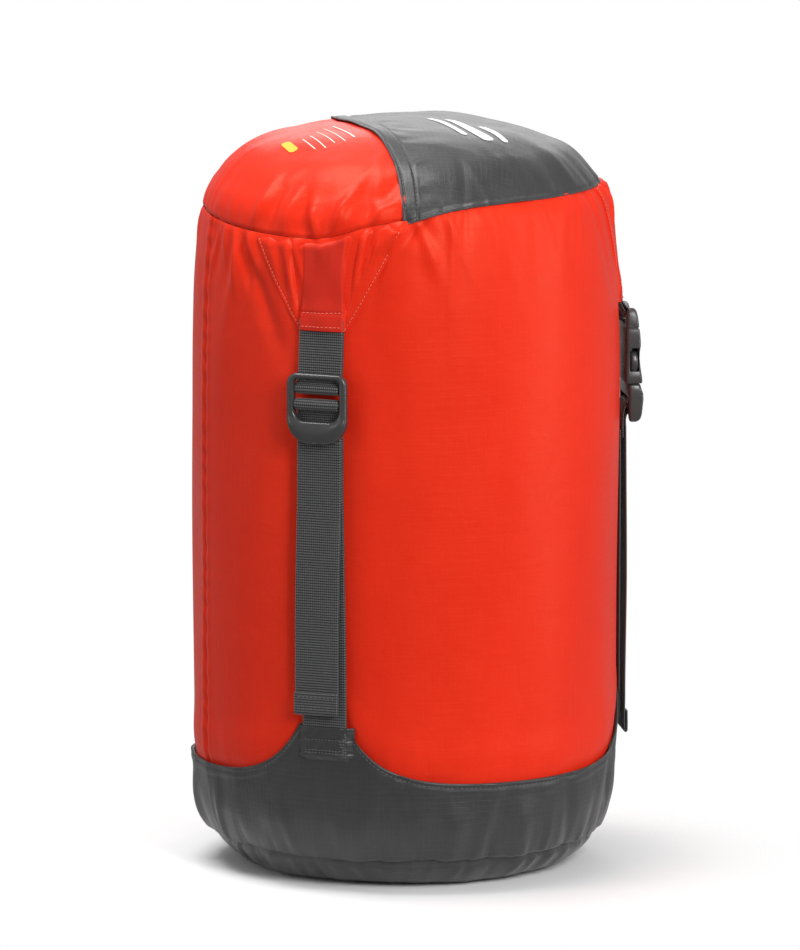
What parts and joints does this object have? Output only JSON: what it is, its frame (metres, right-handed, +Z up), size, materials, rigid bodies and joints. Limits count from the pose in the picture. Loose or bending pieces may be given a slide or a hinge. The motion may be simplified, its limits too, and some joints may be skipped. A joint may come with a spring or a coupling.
{
  "type": "compression sack",
  "caption": "Stuffed cylindrical compression sack with a scalloped base skirt, compression straps, ladder-lock buckles and a hinged lid flap held by a side-release buckle.",
  "frame": {"origin": "middle of the flat base, on the surface that the sack stands on", "axes": "+Z up along the sack's axis; +X outward to the strap with the side-release buckle; the sack is built symmetric about the XZ plane"},
  "size_m": [0.2419, 0.2336, 0.402],
  "materials": {
    "red_ripstop": "satin coated nylon, orange red",
    "grey_ripstop": "fine ripstop nylon, dark grey",
    "webbing": "ribbed woven webbing, dark grey",
    "buckle_plastic": "satin moulded acetal, dark grey",
    "drawcord": "braided cord, black",
    "packed_load": "quilted nylon, dark blue"
  },
  "bodies": {
    "base": {"base_disc": "grey_ripstop", "base_skirt": "grey_ripstop", "body_wall": "red_ripstop", "packed_contents": "packed_load", "lower_anchor_front": "grey_ripstop", "lower_anchor_rear": "grey_ripstop", "lower_anchor_release": "grey_ripstop", "load_strap_front": "webbing", "load_strap_rear": "webbing", "load_strap_release": "webbing"},
    "lid": {"lid_panel": "red_ripstop", "lid_band": "grey_ripstop", "mouth_collar": "red_ripstop", "mouth_drawcord": "drawcord", "drawcord_eyelet": "buckle_plastic", "gusset_front": "red_ripstop", "gusset_rear": "red_ripstop", "upper_strap_front": "webbing", "upper_strap_rear": "webbing"},
    "front_buckle": {"ladder_lock_front": "buckle_plastic", "strap_wrap_front": "webbing"},
    "rear_buckle": {"ladder_lock_rear": "buckle_plastic", "strap_wrap_rear": "webbing"},
    "front_tail": {"strap_tail_front": "webbing"},
    "rear_tail": {"strap_tail_rear": "webbing"},
    "flap": {"lid_flap": "grey_ripstop"},
    "release_socket": {"gusset_release": "red_ripstop", "upper_strap_release": "webbing", "buckle_socket": "buckle_plastic"},
    "release_plug": {"buckle_plug": "buckle_plastic", "strap_wrap_release": "webbing"},
    "prong_left": {"plug_prong_left": "buckle_plastic"},
    "prong_right": {"plug_prong_right": "buckle_plastic"},
    "release_tail": {"strap_tail_release": "webbing"}
  },
  "joints": [
    {"name": "compress", "type": "slide", "parent": "base", "child": "lid", "axis": [0, 0, -1], "range_m": [0, 0.09], "deforming": ["body_wall", "packed_contents", "load_strap_front", "load_strap_rear", "load_strap_release"]},
    {"name": "flap_lift", "type": "hinge", "parent": "lid", "child": "flap", "pos_m": [-0.015, 0, 0.375], "axis": [0, -1, 0], "range_deg": [0, 100]},
    {"name": "socket_hang", "type": "hinge", "parent": "flap", "child": "release_socket", "pos_m": [0.1072, 0, 0.3606], "axis": [0, -1, 0], "range_deg": [-34, 0]},
    {"name": "plug_release", "type": "slide", "parent": "lid", "child": "release_plug", "axis": [0, 0, -1], "range_m": [0, 0.035]},
    {"name": "prong_squeeze", "type": "hinge", "parent": "release_plug", "child": "prong_left", "pos_m": [0.1224, 0.0098, 0.2552], "axis": [1, 0, 0], "range_deg": [0, 12], "stiffness_Nm_per_rad": 0.6},
    {"name": "prong_squeeze_right", "type": "hinge", "parent": "release_plug", "child": "prong_right", "pos_m": [0.1224, -0.0098, 0.2552], "axis": [1, 0, 0], "range_deg": [-12, 0], "stiffness_Nm_per_rad": 0.6},
    {"name": "front_lock_tilt", "type": "hinge", "parent": "lid", "child": "front_buckle", "pos_m": [-0.0602, -0.10427, 0.2708], "axis": [-0.866, 0.5, 0], "range_deg": [0, 25]},
    {"name": "rear_lock_tilt", "type": "hinge", "parent": "lid", "child": "rear_buckle", "pos_m": [-0.0602, 0.10427, 0.2708], "axis": [0.866, 0.5, 0], "range_deg": [0, 25]},
    {"name": "front_tail_swing", "type": "hinge", "parent": "front_buckle", "child": "front_tail", "pos_m": [-0.05922, -0.10258, 0.2423], "axis": [-0.866, 0.5, 0], "range_deg": [0, 75]},
    {"name": "rear_tail_swing", "type": "hinge", "parent": "rear_buckle", "child": "rear_tail", "pos_m": [-0.05922, 0.10258, 0.2423], "axis": [0.866, 0.5, 0], "range_deg": [0, 75]},
    {"name": "release_tail_swing", "type": "hinge", "parent": "release_plug", "child": "release_tail", "pos_m": [0.11845, 0, 0.2338], "axis": [0, -1, 0], "range_deg": [0, 75]}
  ],
  "couplings": [
    {"joint": "socket_hang", "follows": "flap_lift", "ratio": -0.34},
    {"joint": "plug_release", "follows": "flap_lift", "m_per_rad": 0.02},
    {"joint": "prong_squeeze_right", "follows": "prong_squeeze", "ratio": -1},
    {"joint": "release_tail_swing", "follows": "compress", "rad_per_m": 13}
  ]
}
